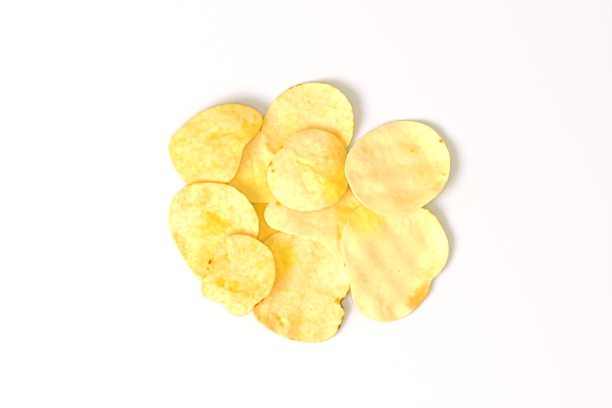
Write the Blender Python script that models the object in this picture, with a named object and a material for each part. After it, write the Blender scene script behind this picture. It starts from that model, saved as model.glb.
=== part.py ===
"""A heap of potato crisps, as it lies on a table.

Each crisp is a thin fried slice: a curved sheet with its own outline, bend, turned edges and
blisters, thickened to a closed shell. The crisps are laid down one after the other, the lowest
first. Each one drops and tilts until it rests on three points of what lies below it.
"""
import math

import bmesh
import bpy
import numpy as np
from mathutils import Matrix, Vector
from mathutils.bvhtree import BVHTree

MM = 0.001

THICKNESS = 1.3 * MM       # a fried slice
GAP = 0.36 * MM            # kept between crisps that touch
FACET = 2.5 * MM           # width of the triangles on both faces
DROP_STEP = 0.8 * MM       # spacing of the points at which a crisp feels what is below it
DROP_HEIGHT = 200 * MM     # above everything
FAR = 10.0                 # metres to the far corners on which a resting plane starts
FAR_DOWN = 1000.0          # metres that those corners lie below the table
SETTLING_PASSES = 5
RIPPLE_LENGTHS = (29 * MM, 19 * MM, 12 * MM)

# One entry for each crisp, the lowest first. All lengths are in millimetres.
#   middle    place of its middle on the table, from the middle of the heap
#   reach     distance from the middle to the edge, at even steps from +X anticlockwise
#   cup       how far the rim stands above the middle; less than 0 is a dome
#   bend      rise of the two sides that lie along bend_angle, like a gutter
#   turns     turned stretches of the edge: direction, half its width, the share of the
#             reach at which it starts, and its rise at the edge
#   blisters  raised bubbles and folds: place, half length, half width, direction and height
#   ripple    height of the long waves in the sheet
#   notches   cracks in from the edge: direction, half width in degrees and depth
#   colour    the fried potato, linear RGB
CRISPS = (
    dict(
        name="crisp_bottom_of_gap",
        middle=(-23.5, -7.5),
        reach=(17, 16.5, 16, 16, 17, 17.5, 17, 16.5),
        cup=1.2, bend=0.8, bend_angle=70, ripple=0.2,
        colour=(0.93, 0.60, 0.13),
    ),
    dict(
        name="crisp_middle_left",
        middle=(-23.5, 23.5),
        reach=(18, 18, 17.8, 18.5, 19, 20, 19, 19),
        cup=1.5, bend=-1.2, bend_angle=100, ripple=0.25,
        colour=(0.95, 0.72, 0.26),
    ),
    dict(
        name="crisp_bottom_centre",
        middle=(-3.5, -38),
        reach=(23.9, 24.9, 26, 28, 31.2, 28, 26, 27, 25.5, 26.5, 28.5, 24.6),
        cup=1.6, bend=2.4, bend_angle=10, ripple=0.3,
        turns=((-65, 35, 0.75, -1.2), (95, 50, 0.45, -1.8)),
        blisters=((9, 6, 5, 4, 40, 0.5), (-8, -14, 4, 3, 0, 0.5)),
        notches=((-19, 6, 3.6), (-13, 13, 2.5)),
        colour=(0.96, 0.76, 0.30),
    ),
    dict(
        name="crisp_top_centre",
        middle=(0, 43.5),
        reach=(22.6, 23.5, 23.1, 21.4, 21.3, 21.75, 23.7, 24.75, 20, 18, 18, 22),
        cup=1.6, bend=4.0, bend_angle=40, ripple=0.3,
        turns=((130, 40, 0.7, -1.0),),
        blisters=((-6, 2, 5, 4, 120, 0.5),),
        colour=(0.96, 0.77, 0.31),
    ),
    dict(
        name="crisp_top_left",
        middle=(-47, 33.5),
        reach=(15.5, 27.3, 24, 19.35, 18, 19, 23.9, 23.5, 24, 21, 19, 15.5),
        cup=1.5, bend=-4.0, bend_angle=35, ripple=0.3,
        blisters=((2, 5, 6, 2.5, 10, -0.6), (-8, -4, 5, 4, 60, 0.5)),
        colour=(0.95, 0.74, 0.30),
    ),
    dict(
        name="crisp_centre_low",
        middle=(4.5, -0.5),
        reach=(
            26, 24.7, 23.5, 22.7, 21.6, 19.4, 17, 15.7, 15, 15, 15.5, 16.5, 18, 20.1, 22.5, 25.6,
            27.25, 25.6, 21.7, 17, 14.8, 13.2, 12.3, 12.6, 13.6, 15.8, 24.2, 32, 31, 28.5, 28, 27,
        ),
        cup=0.6, bend=-1.8, bend_angle=75, ripple=0.25,
        turns=((225, 60, 0.6, -2.2),),
        blisters=((10, -8, 7, 1.6, 80, 0.7),),
        colour=(0.96, 0.75, 0.32),
    ),
    dict(
        name="crisp_bottom_right",
        middle=(43, -22.5),
        reach=(25.8, 27.8, 29, 26, 32, 31, 26.5, 27, 32.8, 31.2, 25.7, 22),
        cup=1.8, bend=1.2, bend_angle=0, ripple=0.28,
        turns=((10, 60, 0.6, 2.6), (185, 65, 0.5, -2.2)),
        blisters=((-4, 8, 8, 6, 100, 0.4), (5, -12, 6, 5, 20, 0.4)),
        notches=((-30, 12, 1.2),),
        colour=(0.96, 0.76, 0.32),
    ),
    dict(
        name="crisp_centre_top",
        middle=(-0.5, 22.5),
        reach=(20.4, 22, 21.5, 20.5, 18, 17, 19.75, 21, 21.25, 21, 21.75, 22),
        cup=-2.8, bend=-1.4, bend_angle=40, ripple=0.2,
        turns=((228, 45, 0.7, -2.2), (-15, 50, 0.6, -1.5)),
        blisters=((-8, -4, 6, 5, 130, 0.8), (5, -6, 7, 3.5, 110, 0.9), (2, 5, 9, 2.5, -15, 0.7)),
        colour=(0.96, 0.74, 0.28),
    ),
    dict(
        name="crisp_left",
        middle=(-48.5, -6.5),
        reach=(25, 24.5, 24, 22.5, 23.75, 23, 21.25, 19.6, 22.8, 28.5, 25, 23.5),
        cup=3.4, bend=1.6, bend_angle=60, ripple=0.3,
        turns=((120, 35, 0.8, -0.8),),
        blisters=((8, 11, 5, 4, 30, 0.5), (-10, -3, 6, 4, 80, 0.5)),
        colour=(0.95, 0.74, 0.28),
    ),
    dict(
        name="crisp_top_right",
        middle=(44.3, 22.5),
        reach=(25.8, 26.1, 25.1, 23.6, 22.2, 24.7, 27.2, 26.8, 26.3, 25, 23.2, 24.6),
        cup=1.8, bend=1.6, bend_angle=20, ripple=0.25,
        turns=((5, 65, 0.6, 2.6), (200, 55, 0.5, -2.0)),
        blisters=((-3, -6, 8, 6, 20, 0.4),),
        colour=(0.96, 0.75, 0.34),
    ),
    dict(
        name="crisp_bottom_left",
        middle=(-34.5, -29.5),
        reach=(18.6, 19.4, 18.9, 19.25, 18.75, 16.25, 17, 21.75, 18, 22, 18.25, 18.9),
        cup=2.2, bend=1.6, bend_angle=-30, ripple=0.25,
        turns=((225, 45, 0.6, -2.4),),
        blisters=((3, 4, 4, 3, 50, 0.5),),
        colour=(0.96, 0.77, 0.34),
    ),
)


def clear_scene():
    for item in list(bpy.data.objects):
        bpy.data.objects.remove(item, do_unlink=True)


def fried_potato(name, colour):
    material = bpy.data.materials.new(name)
    material.use_nodes = True
    shader = material.node_tree.nodes["Principled BSDF"]
    shader.inputs["Base Color"].default_value = (*colour, 1.0)
    shader.inputs["Roughness"].default_value = 0.5
    shader.inputs["Metallic"].default_value = 0.0
    return material


def smooth_step(value):
    share = min(1.0, max(0.0, value))
    return share * share * (3.0 - 2.0 * share)


def turn_between(angle, other):
    """Degrees from one direction to the other, between -180 and 180."""
    return (angle - other + 180.0) % 360.0 - 180.0


def edge_reach(crisp, angle):
    """Distance from the middle to the edge at this angle, on a smooth curve through the reaches."""
    reach = crisp["reach"]
    count = len(reach)
    place = (angle % 360.0) / 360.0 * count
    index = int(place)
    share = place - index
    before, start, end, after = (reach[(index + step) % count] for step in (-1, 0, 1, 2))
    distance = 0.5 * (
        2.0 * start
        + (end - before) * share
        + (2.0 * before - 5.0 * start + 4.0 * end - after) * share ** 2
        + (3.0 * start - 3.0 * end + after - before) * share ** 3
    )
    for direction, half_width, depth in crisp.get("notches", ()):
        closeness = 1.0 - abs(turn_between(angle, direction)) / half_width
        distance -= depth * max(0.0, closeness)
    return distance * MM


def blister_height(crisp, x, y):
    """Soft humps on the sheet, each longer one way than the other."""
    height = 0.0
    for place_x, place_y, half_length, half_width, direction, rise in crisp.get("blisters", ()):
        turn = math.radians(direction)
        offset_x = x - place_x * MM
        offset_y = y - place_y * MM
        along = (offset_x * math.cos(turn) + offset_y * math.sin(turn)) / (half_length * MM)
        across = (offset_y * math.cos(turn) - offset_x * math.sin(turn)) / (half_width * MM)
        height += rise * MM * math.exp(-1.2 * (along ** 2 + across ** 2))
    return height


def ripple_height(crisp, waves, x, y):
    height = 0.0
    for length, turn, phase in waves:
        along = x * math.cos(turn) + y * math.sin(turn)
        height += crisp["ripple"] * MM * math.sin(2.0 * math.pi * along / length + phase)
    return height


def sheet_height(crisp, waves, x, y, share, angle):
    """Height of the curved sheet over its middle, at a share of the way to the edge."""
    size = sum(crisp["reach"]) / len(crisp["reach"]) * MM
    turn = math.radians(crisp["bend_angle"])
    along = (x * math.cos(turn) + y * math.sin(turn)) / size
    height = crisp["cup"] * MM * share ** 2 + crisp["bend"] * MM * along ** 2
    for direction, half_width, start, rise in crisp.get("turns", ()):
        nearness = smooth_step(1.5 - abs(turn_between(angle, direction)) / half_width)
        height += rise * MM * nearness * max(0.0, (share - start) / (1.0 - start)) ** 1.5
    return height + blister_height(crisp, x, y) + ripple_height(crisp, waves, x, y) * (0.5 + share)


def make_waves(seed):
    """Length, direction and phase of each wave. The directions are spread evenly round."""
    random = np.random.default_rng(seed)
    first_turn = random.uniform(0, math.pi)
    spread = math.pi / len(RIPPLE_LENGTHS)
    return [
        (length, first_turn + index * spread, random.uniform(0, 2 * math.pi))
        for index, length in enumerate(RIPPLE_LENGTHS)
    ]


def make_sheet(crisp, waves):
    """Rings of points round the middle, six more in each ring, so the triangles are about equal."""
    size = sum(crisp["reach"]) / len(crisp["reach"]) * MM
    ring_count = round(size / FACET)
    sheet = bmesh.new()
    rings = [[sheet.verts.new((0, 0, sheet_height(crisp, waves, 0, 0, 0, 0)))]]
    for ring in range(1, ring_count + 1):
        points = []
        for step in range(6 * ring):
            angle = 360.0 * step / (6 * ring)
            share = ring / ring_count
            distance = edge_reach(crisp, angle) * share
            x = distance * math.cos(math.radians(angle))
            y = distance * math.sin(math.radians(angle))
            points.append(sheet.verts.new((x, y, sheet_height(crisp, waves, x, y, share, angle))))
        rings.append(points)
    for ring in range(1, ring_count + 1):
        inner, outer = rings[ring - 1], rings[ring]
        for sector in range(6):
            for step in range(ring):
                first = outer[(sector * ring + step) % len(outer)]
                second = outer[(sector * ring + step + 1) % len(outer)]
                below = inner[(sector * (ring - 1) + step) % len(inner)]
                sheet.faces.new((below, first, second))
                if step < ring - 1:
                    beside = inner[(sector * (ring - 1) + step + 1) % len(inner)]
                    sheet.faces.new((below, second, beside))
    return sheet


def make_crisp(crisp, seed):
    sheet = make_sheet(crisp, make_waves(seed))
    mesh = bpy.data.meshes.new(crisp["name"])
    sheet.to_mesh(mesh)
    sheet.free()
    mesh.shade_smooth()
    mesh.materials.append(fried_potato(crisp["name"] + "_potato", crisp["colour"]))
    item = bpy.data.objects.new(crisp["name"], mesh)
    bpy.context.scene.collection.objects.link(item)
    shell = item.modifiers.new("thickness", "SOLIDIFY")
    shell.thickness = THICKNESS
    shell.offset = 0.0
    x, y = crisp["middle"]
    item.location = (x * MM, y * MM, 0.0)
    return item


def world_shell(item):
    """Corners and faces of the finished shell, in world space."""
    bpy.context.view_layer.update()
    evaluated = item.evaluated_get(bpy.context.evaluated_depsgraph_get())
    mesh = evaluated.to_mesh()
    corners = [item.matrix_world @ vertex.co for vertex in mesh.vertices]
    faces = [tuple(face.vertices) for face in mesh.polygons]
    evaluated.to_mesh_clear()
    return corners, faces


def surface_of(shells):
    corners, faces = [], []
    for shell_corners, shell_faces in shells:
        first = len(corners)
        corners += shell_corners
        faces += [tuple(first + index for index in face) for face in shell_faces]
    return BVHTree.FromPolygons(corners, faces)


def missing_heights(item, heap):
    """For points under the crisp, how far it has to rise there to clear the heap and the table."""
    corners, faces = world_shell(item)
    own = surface_of([(corners, faces)])
    below = surface_of(heap) if heap else None
    low = Vector([min(corner[axis] for corner in corners) for axis in range(3)])
    high = Vector([max(corner[axis] for corner in corners) for axis in range(3)])
    places, missing = [], []
    for x in np.arange(low.x, high.x, DROP_STEP):
        for y in np.arange(low.y, high.y, DROP_STEP):
            underside = own.ray_cast(Vector((x, y, -DROP_HEIGHT)), Vector((0, 0, 1)))[0]
            if underside is None:
                continue
            support = 0.0
            if below is not None:
                top = below.ray_cast(Vector((x, y, DROP_HEIGHT)), Vector((0, 0, -1)))[0]
                support = top.z + GAP if top is not None else 0.0
            places.append((x - item.location.x, y - item.location.y))
            missing.append(support - underside.z)
    return np.array(places), np.array(missing)


def around_middle(corners, middle):
    """True where the three corners have the middle between them."""
    sides = []
    for index in range(3):
        start, end = corners[index], corners[(index + 1) % 3]
        edge_x, edge_y = end[0] - start[0], end[1] - start[1]
        sides.append(edge_x * (middle[1] - start[1]) - edge_y * (middle[0] - start[0]))
    return min(sides) >= 0.0 or max(sides) <= 0.0


def resting_plane(places, missing):
    """The lowest plane over all the points, measured at their middle, as rise, slope in x and slope in y.

    It starts on three far and low corners. The point that stands out most takes the place of
    one corner at a time, so that the middle stays between the three, until no point stands out.
    """
    middle = places.mean(axis=0)
    corners = [
        (middle[0] + FAR * math.cos(turn), middle[1] + FAR * math.sin(turn), -FAR_DOWN)
        for turn in (0.5, 2.6, 4.7)
    ]
    plane = np.zeros(3)
    for _ in range(200):
        matrix = np.array([(1.0, corner[0], corner[1]) for corner in corners])
        plane = np.linalg.solve(matrix, np.array([corner[2] for corner in corners]))
        excess = missing - (plane[0] + places @ plane[1:])
        worst = int(np.argmax(excess))
        if excess[worst] < 1e-7:
            break
        candidate = (places[worst][0], places[worst][1], missing[worst])
        for index in range(3):
            changed = corners[:index] + [candidate] + corners[index + 1:]
            if around_middle(changed, middle):
                corners = changed
                break
    return plane


def settle(item, heap):
    """Lowers and tilts the crisp until it rests on three points, then clears what is left."""
    for _ in range(SETTLING_PASSES):
        rise, slope_x, slope_y = resting_plane(*missing_heights(item, heap))
        upright = Vector((0, 0, 1))
        tilt = upright.rotation_difference(Vector((-slope_x, -slope_y, 1.0)))
        item.rotation_euler = (tilt.to_matrix() @ item.rotation_euler.to_matrix()).to_euler()
        item.location.z += rise
    item.location.z += missing_heights(item, heap)[1].max()


def stand_on_origin(items):
    """Moves the heap so that the middle of its box, at table height, is the origin."""
    corners = np.array([corner for item in items for corner in world_shell(item)[0]])
    low, high = corners.min(axis=0), corners.max(axis=0)
    shift = Vector((-(low[0] + high[0]) / 2, -(low[1] + high[1]) / 2, -low[2]))
    for item in items:
        item.matrix_world = Matrix.Translation(shift) @ item.matrix_world


def build_heap():
    items, heap = [], []
    for seed, crisp in enumerate(CRISPS):
        item = make_crisp(crisp, seed)
        settle(item, heap)
        heap.append(world_shell(item))
        items.append(item)
    stand_on_origin(items)
    return items


clear_scene()
build_heap()
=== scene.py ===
import math

import bpy
import numpy as np
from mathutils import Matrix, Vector
from mathutils.kdtree import KDTree


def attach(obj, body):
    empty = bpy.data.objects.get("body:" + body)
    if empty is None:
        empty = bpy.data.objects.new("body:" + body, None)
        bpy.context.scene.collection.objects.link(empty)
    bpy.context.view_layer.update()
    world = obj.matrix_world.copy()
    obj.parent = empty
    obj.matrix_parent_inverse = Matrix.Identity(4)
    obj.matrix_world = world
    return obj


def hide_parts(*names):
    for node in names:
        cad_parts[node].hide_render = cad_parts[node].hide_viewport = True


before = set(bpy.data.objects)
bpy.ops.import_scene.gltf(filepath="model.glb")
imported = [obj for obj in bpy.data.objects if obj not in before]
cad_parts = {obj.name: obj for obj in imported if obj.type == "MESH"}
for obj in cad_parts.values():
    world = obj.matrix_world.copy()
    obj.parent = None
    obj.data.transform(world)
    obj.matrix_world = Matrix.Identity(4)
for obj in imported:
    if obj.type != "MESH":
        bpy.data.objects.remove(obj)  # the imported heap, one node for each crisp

mm = 0.001
above = 1.0            # well over the heap, where rays start
down = Vector((0, 0, -1))
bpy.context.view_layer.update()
scene = bpy.context.scene
print("frame loaded:", len(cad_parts), "crisps")


# small helpers for selecting and for modifiers

def onlySelect(piece):
    if bpy.context.object and bpy.context.object.mode != "OBJECT":
        bpy.ops.object.mode_set(mode="OBJECT")
    bpy.ops.object.select_all(action="DESELECT")
    piece.select_set(True)
    bpy.context.view_layer.objects.active = piece


def finishWith(piece, kind, **settings):
    modifier = piece.modifiers.new(kind.lower(), kind)
    for name, value in settings.items():
        setattr(modifier, name, value)
    onlySelect(piece)
    bpy.ops.object.modifier_apply(modifier=modifier.name)


def places(piece):
    flat = np.empty(len(piece.data.vertices) * 3)
    piece.data.vertices.foreach_get("co", flat)
    return flat.reshape(-1, 3)


def soften(share):
    share = np.clip(share, 0, 1)
    return share * share * (3 - 2 * share)


def addWeights(piece, name, weights):
    group = piece.vertex_groups.new(name=name)
    for index, weight in enumerate(weights):
        group.add((index,), weight, "REPLACE")


def storeValues(piece, name, values):
    if name not in piece.data.attributes:
        piece.data.attributes.new(name, "FLOAT", "POINT")
    piece.data.attributes[name].data.foreach_set("value", np.asarray(values, np.float32))


# shader values that can be added and multiplied like numbers

class Flow:
    def __init__(self, tree, socket=None):
        self.tree = tree
        self.socket = socket

    def node(self, kind, settings=None, inputs=None, output=0):
        made = self.tree.nodes.new(kind)
        for name, value in (settings or {}).items():
            if name == "stops":
                ramp = made.color_ramp.elements
                while len(ramp) < len(value):
                    ramp.new(1.0)
                for element, (position, colour) in zip(ramp, value):
                    element.position = position
                    element.color = colour
            else:
                setattr(made, name, value)
        for name, value in (inputs or {}).items():
            if isinstance(value, Flow):
                self.tree.links.new(value.socket, made.inputs[name])
            else:
                made.inputs[name].default_value = value
        return Flow(self.tree, made.outputs[output] if made.outputs else None)

    def other(self, output):  # another output of the same node
        return Flow(self.tree, self.socket.node.outputs[output])

    def maths(self, operation, *values):
        return self.node("ShaderNodeMath", {"operation": operation}, dict(enumerate(values)))

    def __add__(self, other):
        return self.maths("ADD", self, other)

    def __radd__(self, other):
        return self.maths("ADD", other, self)

    def __sub__(self, other):
        return self.maths("SUBTRACT", self, other)

    def __rsub__(self, other):
        return self.maths("SUBTRACT", other, self)

    def __mul__(self, other):
        return self.maths("MULTIPLY", self, other)

    def __rmul__(self, other):
        return self.maths("MULTIPLY", other, self)

    def between(self, low, high):  # 0 at low, 1 at high, soft at both ends
        inputs = {"Value": self, "From Min": low, "From Max": high}
        return self.node("ShaderNodeMapRange", {"interpolation_type": "SMOOTHSTEP"}, inputs)


def tint(red, green, blue):  # screen colour, 0 to 255, as linear light
    shares = [level / 255 for level in (red, green, blue)]
    linear = [s / 12.92 if s <= 0.04045 else ((s + 0.055) / 1.055) ** 2.4 for s in shares]
    return (*linear, 1.0)


# the fried potato: a ramp from pale to burnt, and how far along it each place is, from how fried it
# is and from painted light and shade

potato = {
    "ramp": (
        (0.00, tint(255, 226, 192)),
        (0.10, tint(255, 217, 173)),
        (0.22, tint(255, 208, 153)),
        (0.38, tint(255, 194, 129)),
        (0.60, tint(255, 178, 66)),
        (0.74, tint(246, 157, 34)),
        (0.87, tint(204, 107, 28)),
        (1.00, tint(116, 56, 20)),
    ),
    "blush": tint(255, 140, 66),     # the tones of the tinges: red for the stain on the lower right crisp and for painted glow in the gap; yellow for a yellower tone and for painted glow in shaded places
    "yellowAndShadeGlow": tint(255, 218, 50),
    "patchSize": 9 * mm,
    "mottleSize": 2.2 * mm,
    "mottleTwist": 0.3,
    "cellSize": 2.3 * mm,
    "cellSmoothness": 0.35,
    "cellMiddle": 0.45,              # the usual distance within a cell
    "spotCore": 0.35,                # share of a spot's radius at its full strength
    "spotGrain": 1.6 * mm,           # how finely the edges of spots are broken up
    "rimBand": (0.62, 0.9),          # closeness to the edge where rim tones start and are full
    "rimBreak": 0.35,
    "roughness": 0.45,
    "roughnessRange": 0.25,
    "grainSize": 0.45 * mm,
    "mottleInBump": 1.5,
    "bumpStrength": 0.25,
    "bumpHeight": 0.12 * mm,
    "refraction": 1.45,
    "glow": 0.6,                     # share of the light that passes into the flesh
    "glowReach": (0.9 * mm, 0.5 * mm, 0.2 * mm),   # how far red, green and blue go in it
}


def spotMask(flat, wander, spot):
    x, y, radius, strength = spot
    away = flat.node("ShaderNodeVectorMath", {"operation": "DISTANCE"},
                     {0: flat, 1: (x * mm, y * mm, 0)}, "Value")
    away = away + (wander - 0.5) * (radius * mm)
    return away.between(radius * mm, radius * mm * potato["spotCore"]) * strength


def friedPotato(crisp):
    material = bpy.data.materials.new(crisp["name"] + "Potato")
    material.use_nodes = True
    tree = material.node_tree
    tree.nodes.clear()
    start = Flow(tree)
    place = start.node("ShaderNodeTexCoord", output="Object")
    rim = start.node("ShaderNodeAttribute", {"attribute_name": "rim"}, output="Fac")
    bumps = start.node("ShaderNodeAttribute", {"attribute_name": "bumps"}, output="Fac")
    pits = start.node("ShaderNodeAttribute", {"attribute_name": "pits"}, output="Fac")

    def noise(size, detail, distortion=0.0):
        inputs = {"Vector": place, "Scale": 1 / size, "Detail": detail, "Distortion": distortion}
        return start.node("ShaderNodeTexNoise", inputs=inputs, output="Fac")

    patches = noise(potato["patchSize"], detail=2.0)
    mottle = noise(potato["mottleSize"], detail=1.0, distortion=potato["mottleTwist"])
    cells = start.node("ShaderNodeTexVoronoi", {"feature": "SMOOTH_F1"},
                       {"Vector": place, "Scale": 1 / potato["cellSize"],
                        "Smoothness": potato["cellSmoothness"]}, "Distance")
    axes = start.node("ShaderNodeSeparateXYZ", inputs={0: place})
    flat = start.node("ShaderNodeCombineXYZ", inputs={0: axes, 1: axes.other(1)})
    wander = noise(potato["spotGrain"], detail=2.0)

    # how far along the ramp each place is: how fried, plus the painted shade and painted highlight
    # of the spots below
    fryAndPaintedLight = (crisp["fryAndPaintedLight"] + (patches - 0.5) * crisp["patches"] + (mottle - 0.5) * crisp["mottle"]
           + (cells - potato["cellMiddle"]) * crisp["cells"]
           # paler on raised places, darker in pits and fold grooves: partly a drier skin on the
           # blisters, partly painted shade in the hollows
           - (bumps + pits) * crisp["bumpTone"])
    # spots: browned marks and painted shade, and a painted highlight where they are negative
    for spot in crisp["spots"]:
        fryAndPaintedLight = fryAndPaintedLight + spotMask(flat, wander, spot)
    rimBand = (rim + (wander - 0.5) * potato["rimBreak"]).between(*potato["rimBand"])
    # rim spots: browned rims, and paler rims where negative, a painted highlight on edges that catch
    # the light
    for spot in crisp["rimSpots"]:
        fryAndPaintedLight = fryAndPaintedLight + spotMask(flat, wander, spot) * rimBand
    # rimTone: a darker rim where positive, a paler rim where negative as a painted highlight
    fryAndPaintedLight = fryAndPaintedLight + rimBand * crisp["rimTone"]

    colour = start.node("ShaderNodeValToRGB", {"stops": potato["ramp"]}, {"Fac": fryAndPaintedLight})
    # tinges: the stain on the lower right crisp, a yellower tone, and painted glow that lights up
    # shaded places
    for tone, spot in crisp["tinges"]:  # the mix takes its share at 0, its colours at 6 and 7
        inputs = {0: spotMask(flat, wander, spot), 6: colour, 7: potato[tone]}
        colour = start.node("ShaderNodeMix", {"data_type": "RGBA"}, inputs, 2)
    rough = potato["roughness"] + (mottle - 0.5) * potato["roughnessRange"]
    grain = noise(potato["grainSize"], detail=2.0)
    bump = start.node("ShaderNodeBump", inputs={
        "Height": grain + mottle * potato["mottleInBump"],
        "Strength": potato["bumpStrength"], "Distance": potato["bumpHeight"],
    })
    shader = start.node("ShaderNodeBsdfPrincipled", inputs={
        "Base Color": colour, "Roughness": rough, "Normal": bump,
        "IOR": potato["refraction"], "Subsurface Weight": potato["glow"],
        "Subsurface Radius": potato["glowReach"], "Subsurface Scale": 1.0,
    })
    start.node("ShaderNodeOutputMaterial", inputs={"Surface": shader})
    return material


# shaping one crisp out of its node

sheetWork = {
    "mergeGap": 0.01 * mm,
    "rimAngle": math.radians(50),    # the cut edge turns more sharply than this
    "thickness": 1.25 * mm,
    "rimThickness": 0.6,             # share of the thickness left at the rim
    "rimWidth": 2.6 * mm,
    "clearBelow": 0.45 * mm,         # no relief where another crisp is this close
    "clearAbove": 1.4 * mm,          # and all of it from here on
    "sheetClearTimes": 3,            # how many times clearAbove that is for the sheet
    "calmSlope": 1.4,                # how steeply the relief comes back around a smooth place
    "tableSize": 0.4,                # a stand-in for the table, a little under it
    "tableDrop": 0.05 * mm,
    "sheetLevels": 2,                # how often the sheet is subdivided, then the shell
    "shellLevels": 1,
    "waveSize": 7 * mm,
    "blisterSize": 3.4 * mm,
    "wobbleSize": 3.5 * mm,          # shifts the sheet all ways, so that its outline is ragged
    "wobble": 0.5 * mm,
    "pitSize": 1.9 * mm,
    "crumbleSize": 1.2 * mm,         # the finest relief
    "crumbleShare": 0.5,             # its height, as a share of the pits' depth
    "foldSteps": 8,
}


def copyOfNode(nodeName, pieceName):
    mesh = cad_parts[nodeName].data.copy()
    mesh.name = pieceName
    mesh.materials.clear()
    piece = bpy.data.objects.new(pieceName, mesh)
    scene.collection.objects.link(piece)
    return piece


def keepUpperFace(piece):
    onlySelect(piece)
    bpy.ops.object.mode_set(mode="EDIT")
    bpy.ops.mesh.select_mode(type="FACE")
    bpy.ops.mesh.select_all(action="SELECT")
    bpy.ops.mesh.remove_doubles(threshold=sheetWork["mergeGap"])
    bpy.ops.mesh.customdata_custom_splitnormals_clear()
    bpy.ops.mesh.select_all(action="DESELECT")
    bpy.ops.object.mode_set(mode="OBJECT")
    corners = places(piece)
    middle = (corners.min(axis=0) + corners.max(axis=0)) / 2
    bpy.context.view_layer.update()
    index = piece.ray_cast(Vector((middle[0], middle[1], above)), down)[3]
    piece.data.polygons[index].select = True
    bpy.ops.object.mode_set(mode="EDIT")
    bpy.ops.mesh.faces_select_linked_flat(sharpness=sheetWork["rimAngle"])
    bpy.ops.mesh.select_all(action="INVERT")
    bpy.ops.mesh.delete(type="FACE")
    bpy.ops.object.mode_set(mode="OBJECT")


def rimCloseness(piece):  # 1 at the edge, 0 a rim's width inside it
    mesh = piece.data
    used = np.empty(len(mesh.loops), int)
    mesh.loops.foreach_get("edge_index", used)
    counts = np.bincount(used, minlength=len(mesh.edges))
    rim = sorted({v for edge in mesh.edges if counts[edge.index] == 1 for v in edge.vertices})
    tree = KDTree(len(rim))
    for number, index in enumerate(rim):
        tree.insert(mesh.vertices[index].co, number)
    tree.balance()
    away = np.array([tree.find(vertex.co)[2] for vertex in mesh.vertices])
    return np.clip(1 - away / sheetWork["rimWidth"], 0, 1)


def neighboursOf(nodeName):
    copies = [copyOfNode(name, "neighbour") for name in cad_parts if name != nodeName]
    onlySelect(copies[0])
    bpy.ops.mesh.primitive_plane_add(size=sheetWork["tableSize"],
                                     location=(0, 0, -sheetWork["tableDrop"]))
    copies.append(bpy.context.object)
    for copy in copies:
        copy.select_set(True)
    bpy.context.view_layer.objects.active = copies[0]
    bpy.ops.object.join()
    return bpy.context.object


def freeShare(piece, neighbours, near, far, weights):
    # the relief's weights, fading out from far to near where a neighbour is close
    for old in list(piece.vertex_groups):
        piece.vertex_groups.remove(old)
    addWeights(piece, "relief", weights)
    addWeights(piece, "free", np.ones(len(weights)))
    finishWith(piece, "VERTEX_WEIGHT_PROXIMITY", vertex_group="free", target=neighbours,
               proximity_mode="GEOMETRY", proximity_geometry={"FACE"},
               min_dist=near, max_dist=far, falloff_type="SMOOTH")
    finishWith(piece, "VERTEX_WEIGHT_MIX", vertex_group_a="relief", vertex_group_b="free",
               mix_mode="MUL", mix_set="ALL")


def calmShare(piece, calmZones):  # 1 where the sheet is blistered, less in its smooth places
    points = places(piece)
    slope = sheetWork["calmSlope"]
    share = np.ones(len(points))
    for x, y, radius, amount in calmZones:
        away = np.hypot(points[:, 0] - x * mm, points[:, 1] - y * mm)
        share *= 1 - amount * soften(slope - slope * away / (radius * mm))
    return share


def roughen(piece, kind, size, strength, direction="Z", **settings):
    texture = bpy.data.textures.new("relief", kind)
    texture.noise_scale = size
    for name, value in settings.items():
        setattr(texture, name, value)
    finishWith(piece, "DISPLACE", texture=texture, texture_coords="LOCAL", direction=direction,
               mid_level=0.5, strength=strength, vertex_group="relief")
    bpy.data.textures.remove(texture)


def drawFold(piece, path, width, rise):
    # a soft ridge along a path drawn on the sheet, or a groove where the rise is negative
    curve = bpy.data.curves.new("fold", "CURVE")
    curve.dimensions = "3D"
    curve.resolution_u = sheetWork["foldSteps"]
    spline = curve.splines.new("NURBS")
    spline.points.add(len(path) - 1)
    for point, (x, y) in zip(spline.points, path):
        point.co = (x * mm, y * mm, 0, 1)
    spline.order_u = min(3, len(path))
    spline.use_endpoint_u = True
    line = bpy.data.objects.new("fold", curve)
    scene.collection.objects.link(line)
    onlySelect(line)
    bpy.ops.object.convert(target="MESH")
    line = bpy.context.object
    for vertex in line.data.vertices:
        hit, place, _, _ = piece.ray_cast(Vector((vertex.co.x, vertex.co.y, above)), down)
        if hit:
            vertex.co = place
    addWeights(piece, "fold", np.ones(len(piece.data.vertices)))
    finishWith(piece, "VERTEX_WEIGHT_PROXIMITY", vertex_group="fold", target=line,
               proximity_mode="GEOMETRY", proximity_geometry={"EDGE"},
               min_dist=width * mm, max_dist=0, falloff_type="SMOOTH")
    finishWith(piece, "DISPLACE", direction="Z", mid_level=0, strength=rise * mm,
               vertex_group="fold")
    piece.vertex_groups.remove(piece.vertex_groups["fold"])
    bpy.data.objects.remove(line)


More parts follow.
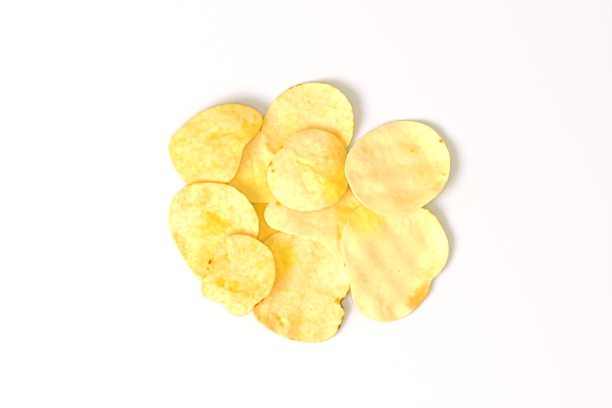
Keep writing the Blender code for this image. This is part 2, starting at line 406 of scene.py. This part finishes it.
def makeCrisp(crisp):
    piece = copyOfNode(crisp["node"], crisp["name"])
    neighbours = neighboursOf(crisp["node"])
    keepUpperFace(piece)
    finishWith(piece, "SUBSURF", levels=sheetWork["sheetLevels"],
               render_levels=sheetWork["sheetLevels"])

    # the sheet: both faces follow these
    rim = rimCloseness(piece)
    storeValues(piece, "rim", rim)
    flatHeights = places(piece)[:, 2]
    thickness = sheetWork["thickness"]
    freeShare(piece, neighbours, thickness + sheetWork["clearBelow"],
              thickness + sheetWork["sheetClearTimes"] * sheetWork["clearAbove"],
              calmShare(piece, crisp["calm"]))
    roughen(piece, "CLOUDS", sheetWork["waveSize"], crisp["waves"] * mm, noise_depth=0)
    roughen(piece, "VORONOI", sheetWork["blisterSize"], -crisp["blisters"] * mm,
            distance_metric="DISTANCE_SQUARED")
    roughen(piece, "CLOUDS", sheetWork["wobbleSize"], sheetWork["wobble"], "RGB_TO_XYZ",
            cloud_type="COLOR", noise_depth=0)
    for path, width, rise in crisp["folds"]:
        drawFold(piece, path, width, rise)
    storeValues(piece, "bumps", (places(piece)[:, 2] - flatHeights) / mm)

    # the shell
    addWeights(piece, "body", 1 - rim)
    finishWith(piece, "SOLIDIFY", thickness=thickness, offset=-1, vertex_group="body",
               thickness_vertex_group=sheetWork["rimThickness"])
    finishWith(piece, "SUBSURF", levels=sheetWork["shellLevels"],
               render_levels=sheetWork["shellLevels"])

    # pits and the finest relief, different on the two faces
    before = places(piece)
    normals = np.array([normal.vector[:] for normal in piece.data.vertex_normals])
    calm = calmShare(piece, crisp["calm"])
    freeShare(piece, neighbours, sheetWork["clearBelow"], sheetWork["clearAbove"], calm)
    roughen(piece, "VORONOI", sheetWork["pitSize"], -crisp["pits"] * mm, "NORMAL",
            distance_metric="DISTANCE_SQUARED")
    roughen(piece, "CLOUDS", sheetWork["crumbleSize"],
            crisp["pits"] * sheetWork["crumbleShare"] * mm, "NORMAL", noise_depth=0)
    lift = np.einsum("ij,ij->i", places(piece) - before, normals) / mm
    storeValues(piece, "pits", lift)
    print(crisp["name"], len(piece.data.polygons), "faces, fine relief", round(float(lift.min()), 2),
          "to", round(float(lift.max()), 2), "mm")

    for group in list(piece.vertex_groups):
        piece.vertex_groups.remove(group)
    onlySelect(piece)
    bpy.ops.object.shade_smooth()
    piece.data.materials.append(friedPotato(crisp))
    bpy.data.objects.remove(neighbours)
    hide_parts(crisp["node"])
    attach(piece, "root")


# Places are in millimetres on the table, from the middle of the heap.
#   fryAndPaintedLight   how far along the ramp the crisp is: how fried it is, made paler or darker for some crisps as painted light that evens out how they are lit
#   patches, mottle, cells, bumpTone, rimTone   how much each of these changes that
#   waves, blisters, pits   heights of the relief in millimetres
#   calm      smooth places: x, y, radius, how much smoother
#   folds     path, half width and rise of each fold
#   spots     places further along the ramp: x, y, radius and how much; browned marks, and in places painted shade; where negative, paler as a painted highlight
#   rimSpots  the same, on the rim alone
#   tinges    places given another tone: tone, then x, y, radius and share of it; a stain, a yellower tone, and painted glow that keeps shaded places bright and yellow

bottomOfGap = {
    "name": "bottomOfGap", "node": "crisp_bottom_of_gap",
    "fryAndPaintedLight": 0.46, "patches": 0.14, "mottle": 0.2, "cells": 0.17, "bumpTone": 0.15, "rimTone": 0.0,
    "waves": 0.22, "blisters": 0.22, "pits": 0.12,
    "calm": [], "folds": [], "spots": [], "rimSpots": [],
    # the whole crisp lies in deep shade: painted glow, yellow with a little red, covers all of it
    "tinges": [("yellowAndShadeGlow", (-26, -2, 30, 1.0)), ("blush", (-26, -2, 30, 0.16))],
}

middleLeft = {
    "name": "middleLeft", "node": "crisp_middle_left",
    "fryAndPaintedLight": 0.14, "patches": 0.1, "mottle": 0.2, "cells": 0.14, "bumpTone": 0.14, "rimTone": 0.0,
    "waves": 0.3, "blisters": 0.22, "pits": 0.13,
    "calm": [],
    "folds": [(((-30, 30), (-27, 22), (-27, 14)), 2.0, -0.2)],
    # painted shade on the lower part, where the left and centre top crisps shade it
    "spots": [(-25, 12, 8, 0.06)],
    "rimSpots": [],
    # painted glow over the same shaded part
    "tinges": [("yellowAndShadeGlow", (-26, 11, 27, 0.42))],
}

bottomCentre = {
    "name": "bottomCentre", "node": "crisp_bottom_centre",
    "fryAndPaintedLight": 0.32, "patches": 0.14, "mottle": 0.28, "cells": 0.17, "bumpTone": 0.18, "rimTone": 0.02,
    "waves": 0.45, "blisters": 0.3, "pits": 0.16,
    "calm": [(11.3, -31.1, 9, 0.85)],
    "folds": [
        (((-15.3, -52.4), (-13.2, -55.6)), 1.8, -0.45),
        (((-11.5, -53.5), (-9.5, -56)), 1.5, 0.35),
    ],
    "spots": [
        (-15.3, -52.4, 1.6, 0.22), (-13.2, -55.6, 1.6, 0.22), (-4.5, -49.6, 0.9, 0.14),
        (0.4, -48.6, 0.9, 0.14), (4.7, -58.9, 0.9, 0.16), (14.0, -44.3, 2.2, 0.45),
        (16.3, -46.9, 1.3, 0.3), (17.0, -52.4, 1.7, 0.28), (15.1, -56.8, 1.5, 0.5),
        # (11.3, -31) paler: a painted highlight where the crisp rises towards the light
        (11.3, -31, 9, -0.14), (-5, -55, 12, 0.06),
    ],
    "rimSpots": [
        (19.4, -40.0, 2.2, 0.6), (15.6, -42.6, 2.4, 0.65), (15.0, -45.9, 2.2, 0.65),
        (16.1, -48.6, 2.0, 0.45), (16.1, -53.5, 2.6, 0.35), (14.5, -57.0, 1.8, 0.55),
        (-28.4, -50.3, 2.4, 0.35), (-25.2, -53.6, 2.4, 0.35), (-8.3, -62.7, 2.2, 0.2),
    ],
    # painted glow in the shade beside the bottom left crisp
    "tinges": [("yellowAndShadeGlow", (-16.5, -23, 13, 0.7))],
}

topCentre = {
    "name": "topCentre", "node": "crisp_top_centre",
    "fryAndPaintedLight": 0.30, "patches": 0.14, "mottle": 0.24, "cells": 0.17, "bumpTone": 0.18, "rimTone": 0.0,
    "waves": 0.45, "blisters": 0.38, "pits": 0.16,
    "calm": [],
    "folds": [(((-8, 52), (2, 47), (12, 46)), 2.4, 0.3)],
    "spots": [
        (-0.5, 55.1, 1.2, 0.4), (12.4, 52.4, 0.8, 0.25), (13.3, 54.5, 0.7, 0.18),
        # (-17.7, 50) paler: a painted highlight on the left, which faces the light; (-17, 39) paler:
        # painted light where the top left crisp's tip shades it; (15, 38.5): painted shade under the
        # centre top crisp's edge
        (-17.7, 50, 9, -0.16), (-17, 39, 11, -0.24), (15, 38.5, 8, 0.08),
    ],
    "rimSpots": [
        (-9.5, 62.3, 2.0, 0.55), (-5.5, 63.6, 2.2, 0.55), (21.3, 45.9, 1.6, 0.4),
        (21.3, 42.9, 1.4, 0.4),
    ],
    # painted glow in the shaded lower left and lower right
    "tinges": [("yellowAndShadeGlow", (-16, 39, 16, 0.3)), ("yellowAndShadeGlow", (16, 33, 10, 0.15))],
}

topLeft = {
    "name": "topLeft", "node": "crisp_top_left",
    "fryAndPaintedLight": 0.41, "patches": 0.12, "mottle": 0.22, "cells": 0.17, "bumpTone": 0.16, "rimTone": 0.0,
    "waves": 0.38, "blisters": 0.34, "pits": 0.16,
    "calm": [],
    "folds": [
        (((-49.5, 37.8), (-45.2, 39.0), (-40, 40.2)), 2.0, -0.35),
        (((-48, 41), (-42, 44), (-34, 46)), 3.0, 0.25),
    ],
    # (-26.5, 40.5): painted shade on the upper right, which turns away from the light; (-63, 30):
    # painted shade on the left, evening out the stronger light there
    "spots": [(-48.4, 38.2, 1.4, 0.12), (-46, 38.8, 1.2, 0.08), (-26.5, 40.5, 5, 0.04),
              (-63, 30, 12, 0.06)],
    "rimSpots": [],
    # painted glow on the shaded right part
    "tinges": [("yellowAndShadeGlow", (-31, 36, 13, 0.15))],
}

centreLow = {
    "name": "centreLow", "node": "crisp_centre_low",
    # rimTone below zero: a painted highlight along the rim, where it catches the light
    "fryAndPaintedLight": 0.26, "patches": 0.13, "mottle": 0.18, "cells": 0.12, "bumpTone": 0.15, "rimTone": -0.08,
    "waves": 0.3, "blisters": 0.22, "pits": 0.11,
    "calm": [(2, -8, 16, 0.8)],
    "folds": [
        (((14.7, -6), (15.4, -12), (15.2, -18.5)), 1.3, -0.45),
        (((17.6, -5), (18.2, -12), (17.6, -18)), 1.3, 0.35),
    ],
    # (15.2, -12) and (20, -3): painted shade next to the bottom right crisp's edge and under the
    # crisps above
    "spots": [(-15.6, 4.5, 1.8, 0.4), (15.2, -12, 2.4, 0.12), (20, -3, 7, 0.1)],
    "rimSpots": [
        # the paler rim spots: a painted highlight along the lower edge, which faces the light
        (-20, -4.5, 6, -0.3), (-10, -10.5, 6, -0.3), (0, -12.5, 5, -0.3), (11, -20, 3, -0.2),
        (4.0, -15.1, 2.0, 0.3), (15.0, -24.6, 2.4, 0.2),
    ],
    # painted glow in the shade at the right
    "tinges": [("yellowAndShadeGlow", (19, -1, 12, 0.25))],
}

bottomRight = {
    "name": "bottomRight", "node": "crisp_bottom_right",
    "fryAndPaintedLight": 0.14, "patches": 0.07, "mottle": 0.14, "cells": 0.1, "bumpTone": 0.1, "rimTone": 0.0,
    "waves": 0.12, "blisters": 0.15, "pits": 0.08,
    "calm": [(40, -24, 24, 0.6)],
    "folds": [
        (((60.5, -9), (62.2, -18), (61.2, -27)), 1.2, -0.12),
        (((64, -8), (65.8, -15), (65, -24)), 1.2, 0.12),
        (((58.5, -29.9), (54, -31)), 1.5, -0.15),
    ],
    "spots": [
        (56.0, -41.5, 9.0, 0.2), (60.0, -35.0, 6.0, 0.1), (44.8, -29.0, 0.8, 0.4),
        (58.0, -30.0, 6.0, 0.12), (61.5, -25.6, 3.5, 0.06), (61.8, -19.4, 1.2, 0.08),
        # (27, -2): painted shade on the upper left, under the top right crisp's edge
        (59.1, -10.6, 1.4, 0.06), (47.6, -5.6, 0.9, 0.12), (27, -2, 10, 0.2),
    ],
    "rimSpots": [
        (57.0, 2.4, 2.4, 0.5), (60.3, -0.6, 2.6, 0.5), (64.0, -5.0, 2.4, 0.45),
    ],
    "tinges": [
        ("blush", (55.4, -42.4, 6.0, 0.75)), ("blush", (51.8, -46.0, 4.5, 0.45)),
        ("blush", (59.0, -37.0, 4.0, 0.3)), ("yellowAndShadeGlow", (45, -23, 70, 0.08)),
        # (28, -4): painted glow in that shade
        ("yellowAndShadeGlow", (28, -4, 14, 0.25)),
    ],
}

centreTop = {
    "name": "centreTop", "node": "crisp_centre_top",
    "fryAndPaintedLight": 0.24, "patches": 0.1, "mottle": 0.22, "cells": 0.17, "bumpTone": 0.2, "rimTone": 0.0,
    "waves": 0.21, "blisters": 0.24, "pits": 0.13,
    "calm": [(-10.5, 17, 9, 0.9), (-8, 7, 8, 0.7)],
    "folds": [
        (((-5.8, 25.2), (-1.4, 24.6), (1.9, 22.3), (4.1, 20.2)), 1.3, -0.24),
        (((1.5, 29.2), (5, 29.4), (9.2, 27.2)), 1.2, -0.18),
        (((-2.4, 14.3), (-1.8, 11.4), (1.5, 9.9), (4.2, 10.8)), 1.2, -0.22),
        (((4.1, 18.1), (5.4, 16), (7, 13.9)), 1.2, -0.16),
        (((-4.5, 27.2), (1.5, 26.2), (6.4, 22.4)), 1.8, 0.22),
        (((-17.4, 11.2), (-12, 7.9), (-6.4, 6.4), (0, 6.2)), 2.2, 0.35),
    ],
    "spots": [
        (7.2, 14.1, 1.2, 0.26), (-14.2, 32.7, 1.3, 0.5), (-18.4, 20.6, 1.0, 0.55),
        # (2.2, 21.8), (8.6, 27.3) and (1.6, 10.2) darken the grooves: partly browning, partly
        # painted shade in them; (2, 34) paler: painted light on the top, which turns away from the
        # light; (14.5, 15.5) and (12.5, 8.5): painted shade on the right side
        (-5.9, 25.8, 1.1, 0.2), (2.2, 21.8, 2.0, 0.1), (8.6, 27.3, 1.6, 0.1),
        (1.6, 10.2, 2.4, 0.1), (2, 34, 11, -0.16),
        (14.5, 15.5, 6.5, 0.05), (12.5, 8.5, 5, 0.04), (-19.4, 24.4, 1.5, 0.4),
    ],
    "rimSpots": [(-14.2, 32.7, 2.2, 0.3), (-20.3, 24.4, 2.2, 0.45)],
    # painted glow over the shaded right side and top
    "tinges": [("yellowAndShadeGlow", (16, 12, 14, 0.42)), ("yellowAndShadeGlow", (8, 25, 24, 0.2))],
}

left = {
    "name": "left", "node": "crisp_left",
    "fryAndPaintedLight": 0.37, "patches": 0.17, "mottle": 0.28, "cells": 0.24, "bumpTone": 0.2, "rimTone": 0.0,
    "waves": 0.45, "blisters": 0.38, "pits": 0.18,
    "calm": [],
    "folds": [
        (((-50, 0), (-46, -5), (-38, -7)), 2.2, -0.35),
        (((-42, 9), (-36, 4), (-34, -1)), 2.6, 0.3),
    ],
    "spots": [
        # (-63.5, -4), (-62, -16), (-55, -27) and (-38.5, 8) paler: painted highlight where the
        # surface faces the light
        (-46.5, -4.8, 9, 0.24), (-60, 13.4, 2.2, 0.14), (-63.5, -4, 9, -0.24),
        (-62, -16, 10, -0.18), (-55, -27, 9, -0.12), (-38.5, 8, 7, -0.08), (-53, 4, 4, 0.1),
    ],
    "rimSpots": [(-35.7, 12.2, 1.8, 0.55), (-34.2, 10.6, 1.4, 0.45), (-59.5, 13.7, 2.4, 0.3),
                 (-55.2, 15.2, 2, 0.25)],
    # painted light on the lower left side
    "tinges": [("yellowAndShadeGlow", (-57, -19, 18, 0.2))],
}

topRight = {
    "name": "topRight", "node": "crisp_top_right",
    "fryAndPaintedLight": 0.13, "patches": 0.07, "mottle": 0.15, "cells": 0.12, "bumpTone": 0.1, "rimTone": 0.0,
    "waves": 0.17, "blisters": 0.17, "pits": 0.1,
    "calm": [(45, 18, 22, 0.4)],
    "folds": [
        (((64, 27), (65.2, 20), (62, 12)), 1.3, -0.14),
        (((36, 35), (46, 36), (56, 33)), 2.4, -0.15),
    ],
    "spots": [
        (51.2, 30.9, 1.0, 0.3), (64.4, 14.4, 1.3, 0.26), (66.8, 19.1, 1.1, 0.22),
        # (50, 35.5) and (60, 20): painted shade on the top and right, evening out the stronger light
        # there; (53.2, 6.5) and (44, 3.5): painted shade along the lower edge
        (50, 35.5, 9, 0.08), (60, 20, 12, 0.09), (53.2, 6.5, 5, 0.08), (44, 3.5, 6, 0.05),
        (65.5, 35.8, 1.3, 0.75),
    ],
    # the paler rim spots: a painted highlight on the left rim, which faces the light
    "rimSpots": [
        (17.8, 28.5, 4, -0.15), (19.4, 20, 5, -0.15), (21.5, 12, 5, -0.15), (24.5, 6, 4, -0.12),
    ],
    "tinges": [("yellowAndShadeGlow", (48, 18, 60, 0.1))],
}

bottomLeft = {
    "name": "bottomLeft", "node": "crisp_bottom_left",
    "fryAndPaintedLight": 0.42, "patches": 0.14, "mottle": 0.28, "cells": 0.24, "bumpTone": 0.2, "rimTone": 0.0,
    "waves": 0.38, "blisters": 0.38, "pits": 0.18,
    "calm": [(-41, -46, 7, 0.6)],
    "folds": [(((-46, -34), (-40, -38), (-34, -39)), 1.8, -0.35)],
    "spots": [
        (-49.8, -24.4, 1.7, 0.55), (-51.0, -27.8, 1.5, 0.4), (-52.1, -31.6, 1.4, 0.3),
        # (-44.2, -34.6) and (-38, -36.8): painted shade along the crease; (-46, -43) paler: a
        # painted highlight on the lower flap, which faces the light
        (-44.2, -34.6, 3.4, 0.16), (-38, -36.8, 3.8, 0.14), (-46, -43, 8, -0.1),
        (-34, -28, 8, -0.06),
    ],
    "rimSpots": [(-24.2, -42.9, 2.2, 0.7), (-26.6, -45.8, 2.2, 0.7)],
    "tinges": [],
}

allCrisps = [bottomOfGap, middleLeft, bottomCentre, topCentre, topLeft, centreLow, bottomRight,
             centreTop, left, topRight, bottomLeft]
for crisp in allCrisps:
    makeCrisp(crisp)
print("crisps made")


# table, light and camera

studio = {
    "floorSize": 6.0,
    "floorTone": tint(210, 212, 210),
    "floorRoughness": 0.6,
    "keyFrom": (-1.62, -0.94, 1.76),
    "keySize": 1.5,
    "keyPower": 70.0,
    "keyTone": (1.0, 1.0, 1.0),
    "topHeight": 3.0,
    "topSize": 1.0,
    "topPower": 47.0,
    "topTone": (1.0, 0.99, 0.96),
    "skyStrength": 0.36,
    "skyTone": (1.0, 0.99, 0.96, 1.0),
    # green and blue on the film: light, and the level it gives, up to where that is full
    "greenFilm": ((0.2, 0.185), (0.35, 0.34), (0.63, 0.585), (0.9, 0.845), (1.05, 1.0)),
    "blueFilm": ((0.1, 0.014), (0.2, 0.055), (0.28, 0.13), (0.4, 0.285), (0.6, 0.475), (0.82, 0.79),
                 (1.03, 1.0)),
    "filmReach": 2,
    "sensorWidth": 36,
    "cameraHeight": 2.5,
    "viewWidth": 306 * mm,
    "viewMiddle": (-1.83 * mm, 4.33 * mm),
}


def makeFloor():
    bpy.ops.object.select_all(action="DESELECT")
    bpy.ops.mesh.primitive_plane_add(size=studio["floorSize"], location=(0, 0, 0))
    floor = bpy.context.object
    floor.name = "floor"
    material = bpy.data.materials.new("paleTable")
    material.use_nodes = True
    start = Flow(material.node_tree)
    material.node_tree.nodes.clear()
    shader = start.node("ShaderNodeBsdfPrincipled",
                        inputs={"Base Color": studio["floorTone"],
                                "Roughness": studio["floorRoughness"]})
    start.node("ShaderNodeOutputMaterial", inputs={"Surface": shader})
    floor.data.materials.append(material)


def softLight(name, place, size, power, tone):
    bpy.ops.object.light_add(type="AREA", location=place)
    light = bpy.context.object
    light.name = name
    light.data.shape = "DISK"
    light.data.size = size
    light.data.energy = power
    light.data.color = tone
    light.rotation_euler = Vector(place).to_track_quat("Z", "Y").to_euler()


def makeLight():
    softLight("key", studio["keyFrom"], studio["keySize"], studio["keyPower"],
              studio["keyTone"])
    softLight("top", (0, 0, studio["topHeight"]), studio["topSize"], studio["topPower"],
              studio["topTone"])
    world = bpy.data.worlds.new("studio")
    world.use_nodes = True
    sky = world.node_tree.nodes["Background"]
    sky.inputs["Color"].default_value = studio["skyTone"]
    sky.inputs["Strength"].default_value = studio["skyStrength"]
    scene.world = world
    scene.view_settings.view_transform = "Standard"


def makeFilm():  # an overexposed photo, whose yellows keep their red in the shade
    scene.view_settings.use_curve_mapping = True
    mapping = scene.view_settings.curve_mapping
    mapping.clip_max_x = studio["filmReach"]
    mapping.extend = "HORIZONTAL"
    for curve, film in ((mapping.curves[1], "greenFilm"), (mapping.curves[2], "blueFilm")):
        curve.points[-1].location = studio[film][-1]
        for light, level in studio[film][:-1]:
            curve.points.new(light, level)
    mapping.update()


def makeCamera():
    x, y = studio["viewMiddle"]
    bpy.ops.object.camera_add(location=(x, y, studio["cameraHeight"]), rotation=(0, 0, 0))
    camera = bpy.context.object
    camera.data.sensor_width = studio["sensorWidth"]
    camera.data.lens = studio["sensorWidth"] * studio["cameraHeight"] / studio["viewWidth"]
    scene.camera = camera


makeFloor()
makeLight()
makeFilm()
makeCamera()
print("studio made")
